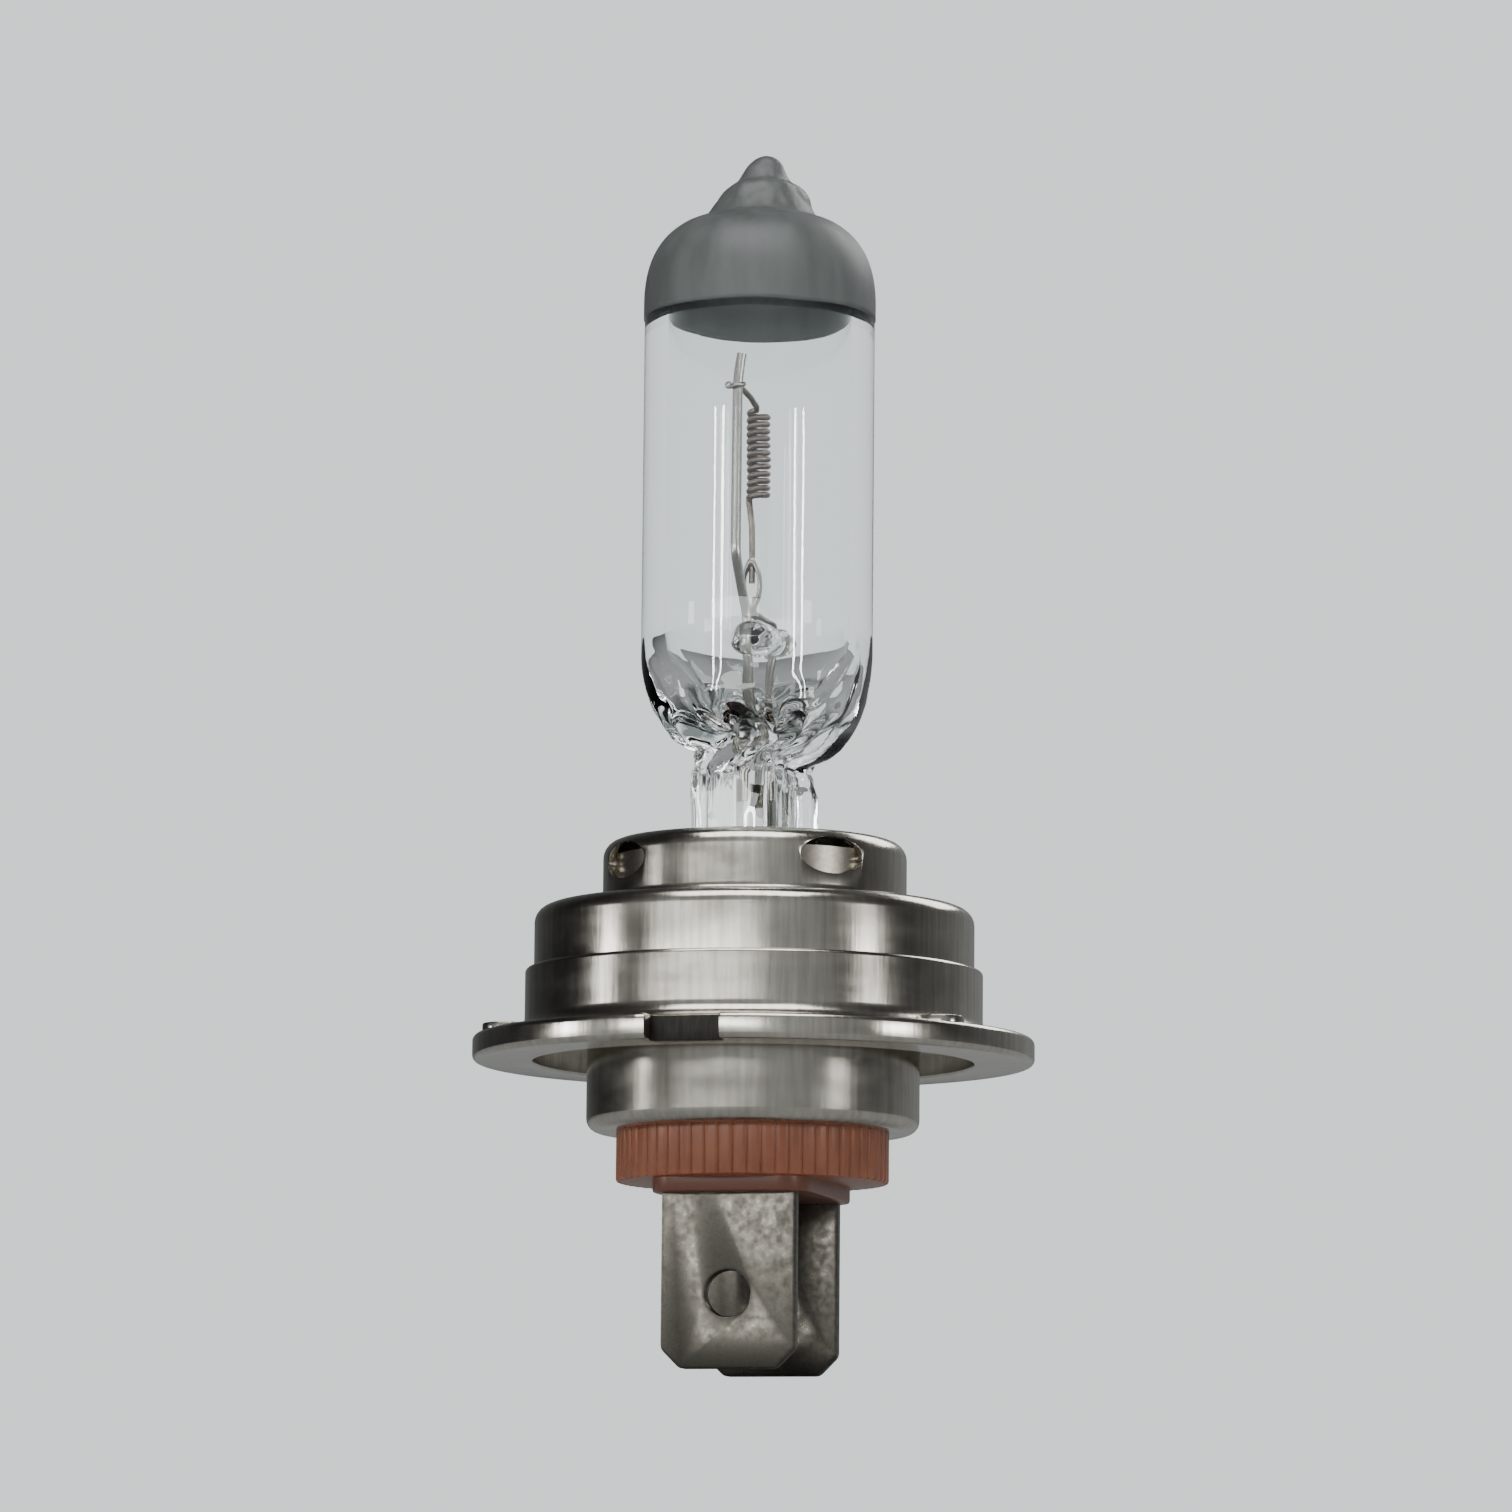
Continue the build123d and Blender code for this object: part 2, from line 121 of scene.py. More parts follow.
def wrapped(name, rows, place, open_foot=False):
    """Roll a grid round the bulb: place(row, turn) gives each point in millimetres."""
    bpy.ops.object.select_all(action="DESELECT")
    bpy.ops.mesh.primitive_grid_add(x_subdivisions=around, y_subdivisions=rows - 1, size=2)
    piece = bpy.context.object
    piece.name = piece.data.name = name
    for vertex in piece.data.vertices:
        turn = 2 * math.pi * round((vertex.co.x + 1) / 2 * around) / around
        row = round((vertex.co.y + 1) / 2 * (rows - 1))
        vertex.co = place(row, turn) * MM
    bpy.ops.object.mode_set(mode="EDIT")
    bpy.ops.mesh.select_all(action="SELECT")
    bpy.ops.mesh.remove_doubles(threshold=0.0004 * MM)
    if open_foot:
        bpy.ops.mesh.select_all(action="DESELECT")
        bpy.ops.mesh.select_non_manifold(extend=False)
        bpy.ops.mesh.edge_face_add()
        bpy.ops.mesh.select_all(action="SELECT")
    bpy.ops.mesh.normals_make_consistent(inside=False)
    bpy.ops.object.mode_set(mode="OBJECT")
    bpy.ops.object.shade_smooth()
    return piece


# One quarter of the pinch's I-shaped section, as (angle round the axis, x) and (angle, y)
section_x = [
    (0, 1.3), (34, 1.3), (38, 1.36), (42, 1.62), (46, 1.82), (50, 1.9), (58, 1.9), (64, 1.72), (68, 1.35), (90, 0)]
section_y = [
    (0, 0), (34, 2.9), (38, 3.15), (42, 3.25), (46, 3.35), (50, 3.6), (58, 4.45), (64, 4.75), (68, 4.8), (90, 4.8)]
# Half width of the neck as it opens from the pinch to the round tube: (height, x)
shoulder_edge = [
    (12.6, 1.9), (12.8, 2.4), (13.0, 2.85), (13.4, 3.4), (14.0, 3.95), (14.75, 4.42), (15.65, 4.8), (16.7, 5.1),
    (17.6, 5.29), (18.6, 5.41)]


def fold_fan(turn, z, seed):
    """Depth of the folds that gather round the neck between the pinch and the bore."""
    wander = noise.noise(Vector((math.cos(turn) * 1.7, math.sin(turn) * 1.7, z * 0.5 + seed)))
    ridge = abs(math.sin(turn * 7 + wander * 2.6 + seed))
    return ridge ** 1.6 * smooth(z, 11.3, 12.7) * (1 - smooth(z, 13.3, 14.6))


def outer_glass(row, turn):
    """A point of the outer skin: round above, pressed between the jaws below."""
    r, z = outer_rows[row]
    x, y = r * math.cos(turn), r * math.sin(turn)
    if z > 18.6:
        return torch_lumps(Vector((x, y, z)))
    limit = between(z, shoulder_edge)
    pressed = limit * (1 - math.exp(-1.9 * abs(x) / limit)) / (1 - math.exp(-1.9 * r / limit))
    x = math.copysign(min(abs(x), pressed), x)
    y *= 1 - 0.11 * (1 - smooth(z, 12.8, 15.5))
    quarter = math.degrees(math.asin(min(1.0, abs(math.sin(turn)))))
    foot = 1 - smooth(z, 12.2, 13.1)
    x = x * (1 - foot) + math.copysign(between(quarter, section_x), math.cos(turn)) * foot
    y = y * (1 - foot) + math.copysign(between(quarter, section_y), math.sin(turn)) * foot
    depth = fold_fan(turn, z, 4.0)
    x *= 1 - 0.20 * depth
    y *= 1 - 0.12 * depth
    crimp = smooth(z, 10.9, 11.5) * (1 - smooth(z, 11.9, 12.4))
    x *= 1 + 0.10 * crimp * noise.noise(Vector((x * 1.5, y * 2.2, z * 2.0)))
    wave = noise.noise(Vector((x * 0.8, y * 0.8, z * 0.9))) * smooth(z, 2.5, 4) * (1 - smooth(z, 14, 17))
    return Vector((x * (1 + 0.03 * wave), y * (1 + 0.02 * wave), z))


def bore_glass(row, turn):
    """A point of the bore: round above, with a rounded floor gathered into shallow radial folds."""
    r, z = bore_rows[row]
    x, y = r * math.cos(turn), r * math.sin(turn)
    low = 1 - smooth(z, 14.4, 15.2)
    ridge = abs(math.sin(turn * 7 + 0.9 + noise.noise(Vector((x * 0.4, y * 0.4, 2.0))) * 2))
    z += 0.35 * low * ridge * smooth(r, 0.3, 1.8)
    x *= 1 - 0.10 * (1 - smooth(z, 14.2, 17.5))
    return Vector((x, y, z))


outer_rows = (
    straight_run((tube_r, pinch_bottom), (tube_r, 11.4), 10)
    + straight_run((tube_r, 11.4), (tube_r, 18.7), 64)
    + straight_run((tube_r, 18.7), (tube_r, 34.3), 12)
    + dome_and_tip(0)
)
bore_rows = (
    straight_run((0.0, 14.2), (1.9, 14.35), 14)
    + curve_run((1.9, 14.35), (3.3, 14.5), (4.05, 15.9), (bore_r, 18.6), 38)
    + straight_run((bore_r, 18.6), (bore_r, 34.3), 12)
    + curve_run((bore_r, 34.3), (bore_r, 36.2), (2.9, 37.0), (0, 37.1), 18)
    + [(0.0, 37.1)]
)
glass_envelope = wrapped("quartz_envelope", len(outer_rows), outer_glass, open_foot=True)
wrapped("bore_skin", len(bore_rows), bore_glass)
bpy.ops.object.mode_set(mode="EDIT")
bpy.ops.mesh.select_all(action="SELECT")
bpy.ops.mesh.flip_normals()
bpy.ops.object.mode_set(mode="OBJECT")
glass_envelope.select_set(True)
bpy.context.view_layer.objects.active = glass_envelope
bpy.ops.object.join()


def srgb(code):
    """Linear colour of an sRGB hex code."""
    levels = [int(code[n:n + 2], 16) / 255 for n in (1, 3, 5)]
    return [v / 12.92 if v <= 0.04045 else ((v + 0.055) / 1.055) ** 2.4 for v in levels] + [1.0]


def add_node(tree, kind, inputs=(), **settings):
    """Add one node with its settings, and set or link its inputs by name or number."""
    made = tree.nodes.new(kind)
    for key, value in settings.items():
        setattr(made, key, value)
    for key, value in dict(inputs).items():
        if isinstance(value, bpy.types.NodeSocket):
            tree.links.new(value, made.inputs[key])
        else:
            made.inputs[key].default_value = value
    return made


def start_material(name):
    """An empty node material: its tree and its output node."""
    material = bpy.data.materials.new(name)
    material.use_nodes = True
    material.node_tree.nodes.clear()
    output = add_node(material.node_tree, "ShaderNodeOutputMaterial")
    return material, material.node_tree, output


def stretched_place(tree, stretch):
    """Object coordinates in millimetres, stretched along each axis."""
    place = add_node(tree, "ShaderNodeTexCoord").outputs["Object"]
    scale = [1000 / part for part in stretch]
    return add_node(tree, "ShaderNodeMapping", {"Vector": place, "Scale": scale}).outputs[0]


def grain(tree, size, detail):
    """Noise with lumps of the given size, in millimetres along each axis."""
    return add_node(tree, "ShaderNodeTexNoise", {
        "Vector": stretched_place(tree, size), "Scale": 1.0, "Detail": detail})


def dress(piece, material):
    """Give a piece one material."""
    piece.data.materials.clear()
    piece.data.materials.append(material)


# Fused quartz: clear and colourless, IOR 1.458, fire-polished, with faint drawing lines along the tube.
# The folds above the pinch carry painted shade, a dark ridged tint for the dark they refract; lamps shine through to
# what is inside.
quartz_glass, tree, output = start_material("fused_quartz_painted_fold_shade")
drawn = grain(tree, (0.9, 0.9, 22), 2.0)
drawn_bump = add_node(tree, "ShaderNodeBump", {"Height": drawn.outputs[0], "Strength": 0.35, "Distance": 0.02 * MM})
fold_place = add_node(tree, "ShaderNodeTexCoord").outputs["Object"]
fold_height = add_node(tree, "ShaderNodeSeparateXYZ", {0: fold_place}).outputs["Z"]
fold_low = add_node(tree, "ShaderNodeMapRange", {
    "Value": fold_height, "From Min": 12.7 * MM, "From Max": 13.3 * MM}, interpolation_type="SMOOTHSTEP")
fold_high = add_node(tree, "ShaderNodeMapRange", {
    "Value": fold_height, "From Min": 14.2 * MM, "From Max": 14.8 * MM, "To Min": 1.0, "To Max": 0.0},
    interpolation_type="SMOOTHSTEP")
fold_turn = add_node(tree, "ShaderNodeTexGradient", {"Vector": fold_place}, gradient_type="RADIAL")
fold_wander = grain(tree, (1.1, 1.1, 1.1), 3.0)
fold_angle = add_node(tree, "ShaderNodeMath", {
    0: fold_turn.outputs[0], 1: 82.0, 2: add_node(tree, "ShaderNodeMath", {
        0: fold_wander.outputs[0], 1: 9.0}, operation="MULTIPLY").outputs[0]}, operation="MULTIPLY_ADD")
fold_wave = add_node(tree, "ShaderNodeMath", {0: fold_angle.outputs[0]}, operation="SINE")
fold_shade_ridge = add_node(tree, "ShaderNodeMapRange", {
    "Value": fold_wave.outputs[0], "From Min": -0.9, "From Max": 0.5, "To Min": 0.15, "To Max": 1.0})
fold_shade_band = add_node(tree, "ShaderNodeMath", {
    0: fold_low.outputs[0], 1: fold_high.outputs[0]}, operation="MULTIPLY")
fold_painted_shade = add_node(tree, "ShaderNodeMath", {
    0: fold_shade_band.outputs[0], 1: fold_shade_ridge.outputs[0]}, operation="MULTIPLY")
# Painted shade: in the folds' band the clear glass colour is mixed towards dark grey, standing in for the dark the
# folds refract.
quartz_and_painted_shade = add_node(tree, "ShaderNodeMix", {
    0: fold_painted_shade.outputs[0], 6: srgb("#fbfdfd"), 7: srgb("#3c4241")}, data_type="RGBA")
quartz = add_node(tree, "ShaderNodeBsdfPrincipled", {
    "Base Color": quartz_and_painted_shade.outputs[2], "Roughness": 0.0, "IOR": 1.458, "Transmission Weight": 1.0,
    "Normal": drawn_bump.outputs[0]})
lamp_path = add_node(tree, "ShaderNodeLightPath")
let_through = add_node(tree, "ShaderNodeBsdfTransparent", {"Color": srgb("#f2f5f5")})
quartz_mix = add_node(tree, "ShaderNodeMixShader", {
    0: lamp_path.outputs["Is Shadow Ray"], 1: quartz.outputs[0], 2: let_through.outputs[0]})
tree.links.new(quartz_mix.outputs[0], output.inputs["Surface"])
dress(glass_envelope, quartz_glass)
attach(glass_envelope, "root")
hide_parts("glass_envelope")

# ---------------------------------------------------------------------------
# Black coating
# The dome is dipped in a heat-proof black slurry and baked, so that no light
# leaves forwards. It is matt, thin, and a little uneven where it ran.
# ---------------------------------------------------------------------------
coating_edge = 33.5
outer_face = straight_run((tube_r + 0.05, coating_edge + 0.05), (tube_r + 0.05, 34.3), 4) + dome_and_tip(0.05)
under_face = straight_run((tube_r - 0.012, coating_edge), (tube_r - 0.012, 34.3), 4) + dome_and_tip(-0.012)
coating_rows = under_face[::-1] + outer_face


def coating_point(row, turn):
    """A point of the thin shell; its lower edge wavers where the dip ended."""
    r, z = coating_rows[row]
    wave = noise.noise(Vector((math.cos(turn) * 1.6, math.sin(turn) * 1.6, 7.0)))
    z += 0.09 * wave * (1 - smooth(z, 33.6, 34.2))
    return torch_lumps(Vector((r * math.cos(turn), r * math.sin(turn), z)))


top_coating = wrapped("black_dome_coat", len(coating_rows), coating_point)

# Baked black slurry: matt dark grey, streaked from the way it drained.
coating_black, tree, output = start_material("baked_black_slurry")
drained = grain(tree, (0.9, 0.9, 5), 4.0)
grit = grain(tree, (0.07, 0.07, 0.07), 2.0)
drained_tint = add_node(tree, "ShaderNodeMix", {
    0: drained.outputs[0], 6: srgb("#3a3e3d"), 7: srgb("#5c605f")}, data_type="RGBA")
grit_bump = add_node(tree, "ShaderNodeBump", {"Height": grit.outputs[0], "Strength": 0.5, "Distance": 0.02 * MM})
slurry_rough = add_node(tree, "ShaderNodeMapRange", {"Value": drained.outputs[0], "To Min": 0.38, "To Max": 0.6})
slurry = add_node(tree, "ShaderNodeBsdfPrincipled", {
    "Base Color": drained_tint.outputs[2], "Roughness": slurry_rough.outputs[0], "IOR": 1.5,
    "Normal": grit_bump.outputs[0]})
tree.links.new(slurry.outputs[0], output.inputs["Surface"])
dress(top_coating, coating_black)
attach(top_coating, "root")
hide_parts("top_coating")

# ---------------------------------------------------------------------------
# Filament
# Tungsten wire wound on a mandrel, with a straight tail at each end. The coil
# is the light source, on the bulb's axis 25 mm above the reference plane.
# ---------------------------------------------------------------------------
coil_bottom, coil_length, coil_turns = 25.0, 4.1, 12.25
coil_r, coil_wire_r = 0.42, 0.145  # the wire is drawn thicker than the frame's 0.11, to be seen
hook_x = -0.26
lead_x = 0.215
long_lead_x, long_lead_y = -0.15, -3.3
lead_r = 0.225
tail_joint = 29.75


def wire(name, points, wire_r, kind="POLY"):
    """A round wire along points in millimetres, as a closed mesh."""
    line = bpy.data.curves.new(name, "CURVE")
    line.dimensions = "3D"
    line.bevel_depth = wire_r * MM
    line.bevel_resolution = 5
    line.use_fill_caps = True
    line.resolution_u = 10
    run = line.splines.new(kind)
    run.points.add(len(points) - 1)
    for knot, point in zip(run.points, points):
        knot.co = (*(Vector(point) * MM), 1)
    run.order_u, run.use_endpoint_u = 3, True
    piece = bpy.data.objects.new(name, line)
    bpy.context.scene.collection.objects.link(piece)
    bpy.ops.object.select_all(action="DESELECT")
    piece.select_set(True)
    bpy.context.view_layer.objects.active = piece
    bpy.ops.object.convert(target="MESH")
    piece = bpy.context.object
    bpy.ops.object.mode_set(mode="EDIT")
    bpy.ops.mesh.select_all(action="SELECT")
    bpy.ops.mesh.remove_doubles(threshold=0.0005 * MM)
    bpy.ops.mesh.normals_make_consistent(inside=False)
    bpy.ops.object.mode_set(mode="OBJECT")
    bpy.ops.object.shade_smooth_by_angle(angle=math.radians(50))
    return piece


coil_steps = 24
coil_points = [
    (hook_x, 0, 21.0), (hook_x, 0, 22.4), (hook_x - 0.02, 0, 23.7), (-0.36, 0, 24.4), (-coil_r, 0, 24.85)]
for step in range(int(coil_turns * coil_steps) + 1):
    angle = math.pi + 2 * math.pi * step / coil_steps
    share = step / (coil_turns * coil_steps)
    slack = 0.03 * noise.noise(Vector((share * 5, 0.3, 0.7)))
    coil_points.append((
        (coil_r + slack) * math.cos(angle) + 0.02 * math.sin(share * 6),
        (coil_r + slack) * math.sin(angle),
        coil_bottom + coil_length * share + slack,
    ))
coil_points += [
    (0.02, -coil_r - 0.12, coil_bottom + coil_length + 0.16),
    (-0.02, -1.4, coil_bottom + coil_length + 0.42),
    (-0.08, -2.3, tail_joint - 0.08),
    (long_lead_x + 0.02, long_lead_y + 0.30, tail_joint),
]
filament_coil = wire("tungsten_coil", coil_points, coil_wire_r)

# Drawn tungsten, recrystallised by its first burn: dark, brownish, with a dull metallic streak.
tungsten, tree, output = start_material("burnt_in_tungsten")
burn = grain(tree, (0.6, 0.6, 0.6), 3.0)
burn_tint = add_node(tree, "ShaderNodeMix", {
    0: burn.outputs[0], 6: srgb("#3b332f"), 7: srgb("#776b63")}, data_type="RGBA")
burnt = add_node(tree, "ShaderNodeBsdfPrincipled", {
    "Base Color": burn_tint.outputs[2], "Metallic": 0.9, "Roughness": 0.4})
tree.links.new(burnt.outputs[0], output.inputs["Surface"])
dress(filament_coil, tungsten)
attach(filament_coil, "root")
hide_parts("filament_coil")

# ---------------------------------------------------------------------------
# Inner leads, tail ring and hook
# Molybdenum wires that hold the coil. The long one passes in front of it and
# carries the upper tail in a small ring; the short one grips the lower tail.
# ---------------------------------------------------------------------------
long_lead = wire("long_support_wire", [
    (lead_x, -2.2, 10.4), (lead_x, -2.2, 14.0), (lead_x - 0.1, -2.2, 18.6), (lead_x - 0.14, -2.25, 19.3),
    (0.0, -2.5, 19.9), (-0.12, -3.05, 21.3), (long_lead_x, long_lead_y, 21.9), (long_lead_x, long_lead_y, 22.7),
    (long_lead_x + 0.02, long_lead_y, 29.4), (long_lead_x + 0.04, long_lead_y, 30.1), (0.05, long_lead_y, 31.25)],
    lead_r, "NURBS")
short_lead = wire("short_support_wire", [
    (lead_x, 2.2, 10.4), (lead_x, 2.2, 18.4), (lead_x, 2.2, 19.0), (lead_x - 0.1, 1.7, 19.15),
    (hook_x + 0.05, 0.4, 19.45), (hook_x, 0.0, 19.55), (hook_x, 0, 20.3)],
    lead_r, "NURBS")

bpy.ops.object.select_all(action="DESELECT")
bpy.ops.mesh.primitive_torus_add(
    location=(long_lead_x * MM, long_lead_y * MM, tail_joint * MM), rotation=(math.radians(12), math.radians(-9), 0),
    major_radius=0.31 * MM, minor_radius=0.11 * MM, major_segments=40, minor_segments=16)
tail_ring = bpy.context.object
tail_ring.name = tail_ring.data.name = "tail_ring"
bpy.ops.object.mode_set(mode="EDIT")
bpy.ops.mesh.primitive_torus_add(
    location=((long_lead_x - 0.36) * MM, (long_lead_y - 0.05) * MM, (tail_joint + 0.02) * MM),
    rotation=(math.radians(90), 0, math.radians(15)),
    major_radius=0.13 * MM, minor_radius=0.055 * MM, major_segments=24, minor_segments=10)
bpy.ops.object.mode_set(mode="OBJECT")
bpy.ops.object.transform_apply(location=True, rotation=True, scale=True)
bpy.ops.object.shade_smooth()

bpy.ops.object.select_all(action="DESELECT")
bpy.ops.mesh.primitive_torus_add(
    location=(0, 0, 0), rotation=(math.radians(90), 0, 0),
    major_radius=0.375 * MM, minor_radius=0.10 * MM, major_segments=48, minor_segments=14)
tail_hook = bpy.context.object
tail_hook.name = tail_hook.data.name = "tail_hook"
bpy.ops.object.transform_apply(location=False, rotation=True, scale=False)
for vertex in tail_hook.data.vertices:
    height = abs(vertex.co.z) / (0.475 * MM)
    vertex.co.x *= 1 - 0.4 * height ** 3
    vertex.co = Vector((vertex.co.x + hook_x * MM, vertex.co.y * 2.6, vertex.co.z * 2.95 + 20.9 * MM))
bpy.ops.object.shade_smooth()

# Drawn molybdenum: mid grey and smooth, with die lines along the wire.
molybdenum, tree, output = start_material("drawn_molybdenum")
die_lines = grain(tree, (0.12, 0.12, 2.5), 3.0)
die_tint = add_node(tree, "ShaderNodeMix", {
    0: die_lines.outputs[0], 6: srgb("#6c6a66"), 7: srgb("#9b9892")}, data_type="RGBA")
die_rough = add_node(tree, "ShaderNodeMapRange", {"Value": die_lines.outputs[0], "To Min": 0.12, "To Max": 0.24})
moly = add_node(tree, "ShaderNodeBsdfPrincipled", {
    "Base Color": die_tint.outputs[2], "Metallic": 1.0, "Roughness": die_rough.outputs[0]})
tree.links.new(moly.outputs[0], output.inputs["Surface"])
for piece, node_name in (
    (long_lead, "long_lead_wire"), (short_lead, "short_lead_wire"),
    (tail_ring, "upper_tail_ring"), (tail_hook, "lower_tail_hook"),
):
    dress(piece, molybdenum)
    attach(piece, "root")
    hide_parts(node_name)

# ---------------------------------------------------------------------------
# Quartz bridge
# A short quartz rod melted round both leads, which keeps them apart while the
# foot is pinched. It is a lumpy clear bead with rounded ends.
# ---------------------------------------------------------------------------
bridge_x, bridge_z, bridge_half = 0.35, 17.9, 3.0
bridge_rows = curve_run((0.0, -bridge_half), (0.75, -bridge_half), (1.0, -2.7), (1.0, -1.9), 12)
bridge_rows += straight_run((1.0, -1.9), (1.0, 1.9), 18)
bridge_rows += curve_run((1.0, 1.9), (1.0, 2.7), (0.75, bridge_half), (0.0, bridge_half), 12) + [(0.0, bridge_half)]


def bridge_point(row, turn):
    """A point of the bead, which is waisted between the leads and lumpy."""
    r, y = bridge_rows[row]
    r *= 1 - 0.16 * (1 - smooth(abs(y), 0.2, 1.7))
    lump = noise.noise(Vector((math.cos(turn) * 1.3, y * 1.1, math.sin(turn) * 1.3)))
    r *= 1 + 0.14 * lump
    return Vector((bridge_x + r * math.cos(turn), y, bridge_z + 0.92 * r * math.sin(turn)))


quartz_bridge = wrapped("quartz_bead", len(bridge_rows), bridge_point)
dress(quartz_bridge, quartz_glass)
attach(quartz_bridge, "root")
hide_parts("quartz_bridge")

# ---------------------------------------------------------------------------
# Foils and outer leads
# Thin molybdenum foils sealed in the pinch, and the wires welded below them
# that run down to the blades. Their shapes are plain, so the frame's stay.
# ---------------------------------------------------------------------------
for node_name in ("seal_foil_front", "seal_foil_rear", "outer_lead_front", "outer_lead_rear"):
    dress(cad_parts[node_name], molybdenum)

# ---------------------------------------------------------------------------
# Holder
# Drawn from nickel-plated steel sheet: a crown with four oval windows over a
# wider skirt, and a slot in its top through which the pinch stands.
# ---------------------------------------------------------------------------


def rounded(corners, steps=6):
    """Outline of (radius, height) points, with an arc at each corner that has a third value."""
    outline = []
    for number, corner in enumerate(corners):
        here = Vector(corner[:2])
        if len(corner) < 3:
            outline.append(here)
            continue
        before = Vector(corners[number - 1][:2]) - here
        after = Vector(corners[(number + 1) % len(corners)][:2]) - here
        half = before.angle(after) / 2
        back = corner[2] / math.tan(half)
        centre = here + (before.normalized() + after.normalized()).normalized() * corner[2] / math.sin(half)
        first = here + before.normalized() * back - centre
        last = here + after.normalized() * back - centre
        turn = first.angle_signed(last)
        for step in range(steps + 1):
            outline.append(centre + Matrix.Rotation(-turn * step / steps, 2) @ first)
    return outline


def turned(name, outline, steps=144):
    """Spin a closed outline of (radius, height) points, in millimetres, round the axis."""
    bpy.ops.object.select_all(action="DESELECT")
    bpy.context.tool_settings.mesh_select_mode = (True, False, False)
    bpy.ops.mesh.primitive_plane_add(size=0.1 * MM)
    piece = bpy.context.object
    piece.name = piece.data.name = name
    bpy.ops.object.mode_set(mode="EDIT")
    bpy.ops.mesh.merge(type="CENTER")
    places = [Vector((point[0], 0, point[1])) * MM for point in outline]
    bpy.ops.transform.translate(value=places[0])
    for here, there in zip(places, places[1:] + places[:1]):
        bpy.ops.mesh.extrude_region_move(TRANSFORM_OT_translate={"value": there - here})
    bpy.ops.mesh.select_all(action="SELECT")
    bpy.ops.mesh.remove_doubles(threshold=0.001 * MM)
    bpy.ops.mesh.spin(steps=steps, angle=2 * math.pi, center=(0, 0, 0), axis=(0, 0, 1))
    bpy.ops.mesh.select_all(action="SELECT")
    bpy.ops.mesh.remove_doubles(threshold=0.001 * MM)
    bpy.ops.mesh.normals_make_consistent(inside=False)
    bpy.ops.object.mode_set(mode="OBJECT")
    bpy.ops.object.shade_smooth_by_angle(angle=math.radians(38))
    return piece


def combine(piece, other, operation):
    """Cut one piece by another or join it on; the other is used up."""
    boolean = piece.modifiers.new("combine", "BOOLEAN")
    boolean.operation = operation
    boolean.object = other
    bpy.ops.object.select_all(action="DESELECT")
    piece.select_set(True)
    bpy.context.view_layer.objects.active = piece
    bpy.ops.object.modifier_apply(modifier="combine")
    bpy.data.objects.remove(other)


def pick_edges(piece, wanted):
    """Go into edit mode with only some edges selected: wanted(end, end) decides, in millimetres."""
    bpy.context.tool_settings.mesh_select_mode = (False, True, False)
    bpy.ops.object.mode_set(mode="EDIT")
    bpy.ops.mesh.select_all(action="DESELECT")
    bpy.ops.object.mode_set(mode="OBJECT")
    for edge in piece.data.edges:
        first, last = (piece.data.vertices[v].co / MM for v in edge.vertices)
        edge.select = wanted(first, last)
    bpy.ops.object.mode_set(mode="EDIT")


def soften(piece, width, angle=40):
    """Break the sharp edges of a piece with a small bevel."""
    bevel = piece.modifiers.new("soften", "BEVEL")
    bevel.width = width * MM
    bevel.segments = 2
    bevel.limit_method = "ANGLE"
    bevel.angle_limit = math.radians(angle)
    bpy.ops.object.select_all(action="DESELECT")
    piece.select_set(True)
    bpy.context.view_layer.objects.active = piece
    bpy.ops.object.modifier_apply(modifier="soften")
    bpy.ops.object.shade_smooth_by_angle(angle=math.radians(38))


crown_top, shoulder = 8.8, 5.7
holder_cup = turned("window_holder", rounded([
    (1.5, crown_top), (7.05, crown_top, 0.8), (7.05, shoulder, 0.5), (10.2, shoulder, 0.75), (10.2, -0.3),
    (9.8, -0.3), (9.8, shoulder - 0.4, 0.35), (6.65, shoulder - 0.4, 0.9), (6.65, crown_top - 0.4, 0.4),
    (1.5, crown_top - 0.4)]))
bpy.ops.mesh.primitive_cube_add(size=MM, location=(0, 0, crown_top * MM))
slot_cutter = bpy.context.object
slot_cutter.scale = (4.6, 10.4, 2.0)
bpy.ops.object.transform_apply(location=True, rotation=True, scale=True)
pick_edges(slot_cutter, lambda first, last: abs(first.z - last.z) > 1)
bpy.ops.mesh.bevel(offset=1.2 * MM, segments=8, affect="EDGES")
bpy.ops.object.mode_set(mode="OBJECT")
combine(holder_cup, slot_cutter, "DIFFERENCE")
for bearing in (45, 135, 225, 315):
    bpy.ops.mesh.primitive_cylinder_add(vertices=40, radius=0.85 * MM, depth=4 * MM)
    window_cutter = bpy.context.object
    turn = Matrix.Rotation(math.radians(bearing), 4, "Z")
    lay_down = Matrix.Rotation(math.radians(90), 4, "Y")
    widen = Matrix.Diagonal((1, 1.95, 1, 1))
    stand_off = Matrix.Translation((7.0 * MM, 0, 0))
    lift = Matrix.Translation((0, 0, 7.55 * MM))
    window_cutter.data.transform(lift @ turn @ stand_off @ lay_down @ widen)
    combine(holder_cup, window_cutter, "DIFFERENCE")
soften(holder_cup, 0.09)

